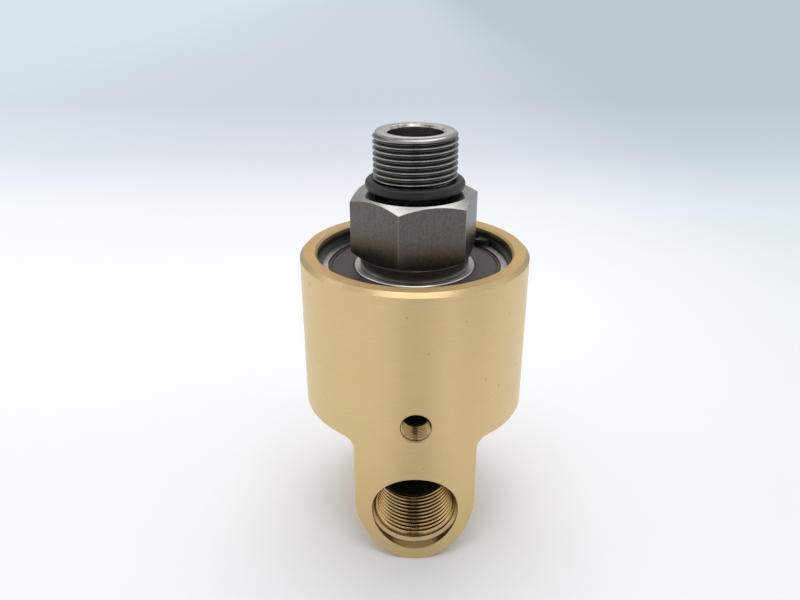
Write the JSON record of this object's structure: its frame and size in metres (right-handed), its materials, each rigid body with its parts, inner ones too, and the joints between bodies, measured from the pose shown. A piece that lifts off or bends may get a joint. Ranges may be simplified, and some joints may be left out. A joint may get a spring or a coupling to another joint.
{
  "type": "hydraulic rotary union",
  "caption": "Rotary union that passes hydraulic fluid from a fixed brass housing, with threaded inlet and drain ports, into a turning hollow steel rotor with hexagon and threaded end.",
  "frame": {"origin": "lowest point of the housing's half-round foot, on the axis of rotation", "axes": "+Z along the axis of rotation, from the foot to the rotor's threaded end; -Y the way both ports open"},
  "size_m": [0.074, 0.074, 0.1341],
  "materials": {
    "housing_brass": "fine turned satin",
    "rotor_steel": "satin, grain along the flats",
    "bearing_steel": "ground",
    "ball_steel": "polished",
    "spring_steel": "phosphated and oiled",
    "hardened_pin": "ground",
    "stainless": "machined",
    "hard_face": "lapped",
    "carbon": "lapped graphite",
    "black_rubber": "matt",
    "seal_rubber": "matt moulded",
    "cage_plastic": "moulded",
    "backup_plastic": "smooth"
  },
  "bodies": {
    "housing": {"housing": "housing_brass", "housing_retaining_ring": "spring_steel", "anti_rotation_pins": "hardened_pin", "seal_spring": "stainless", "upper_bearing_outer_ring": "bearing_steel", "upper_bearing_top_seal": "seal_rubber", "upper_bearing_bottom_seal": "seal_rubber", "lower_bearing_outer_ring": "bearing_steel", "lower_bearing_top_seal": "seal_rubber", "lower_bearing_bottom_seal": "seal_rubber"},
    "rotor": {"rotor": "rotor_steel", "rotor_thread_o_ring": "black_rubber", "rotor_snap_ring": "spring_steel", "rotor_hard_face": "hard_face", "hard_face_o_ring": "black_rubber", "upper_bearing_inner_ring": "bearing_steel", "lower_bearing_inner_ring": "bearing_steel"},
    "upper_ball_set": {"upper_bearing_balls": "ball_steel", "upper_bearing_cage": "cage_plastic"},
    "lower_ball_set": {"lower_bearing_balls": "ball_steel", "lower_bearing_cage": "cage_plastic"},
    "floating_seal": {"floating_seal_carrier": "stainless", "floating_seal_carbon": "carbon", "floating_seal_o_ring": "black_rubber", "floating_seal_backup_ring": "backup_plastic"}
  },
  "joints": [
    {"name": "rotor_spin", "type": "hinge", "parent": "housing", "child": "rotor", "pos_m": [0, 0, 0.0749], "axis": [0, 0, 1], "continuous": true},
    {"name": "upper_ball_spin", "type": "hinge", "parent": "housing", "child": "upper_ball_set", "pos_m": [0, 0, 0.0829], "axis": [0, 0, 1], "continuous": true},
    {"name": "lower_ball_spin", "type": "hinge", "parent": "housing", "child": "lower_ball_set", "pos_m": [0, 0, 0.0669], "axis": [0, 0, 1], "continuous": true},
    {"name": "floating_seal_slide", "type": "slide", "parent": "housing", "child": "floating_seal", "axis": [0, 0, 1], "range_m": [-0.0015, 0], "stiffness_N_per_m": 2000, "springref_m": 0.003, "deforming": ["seal_spring"]}
  ],
  "couplings": [
    {"joint": "upper_ball_spin", "follows": "rotor_spin", "ratio": 0.39647},
    {"joint": "lower_ball_spin", "follows": "rotor_spin", "ratio": 0.39647}
  ]
}
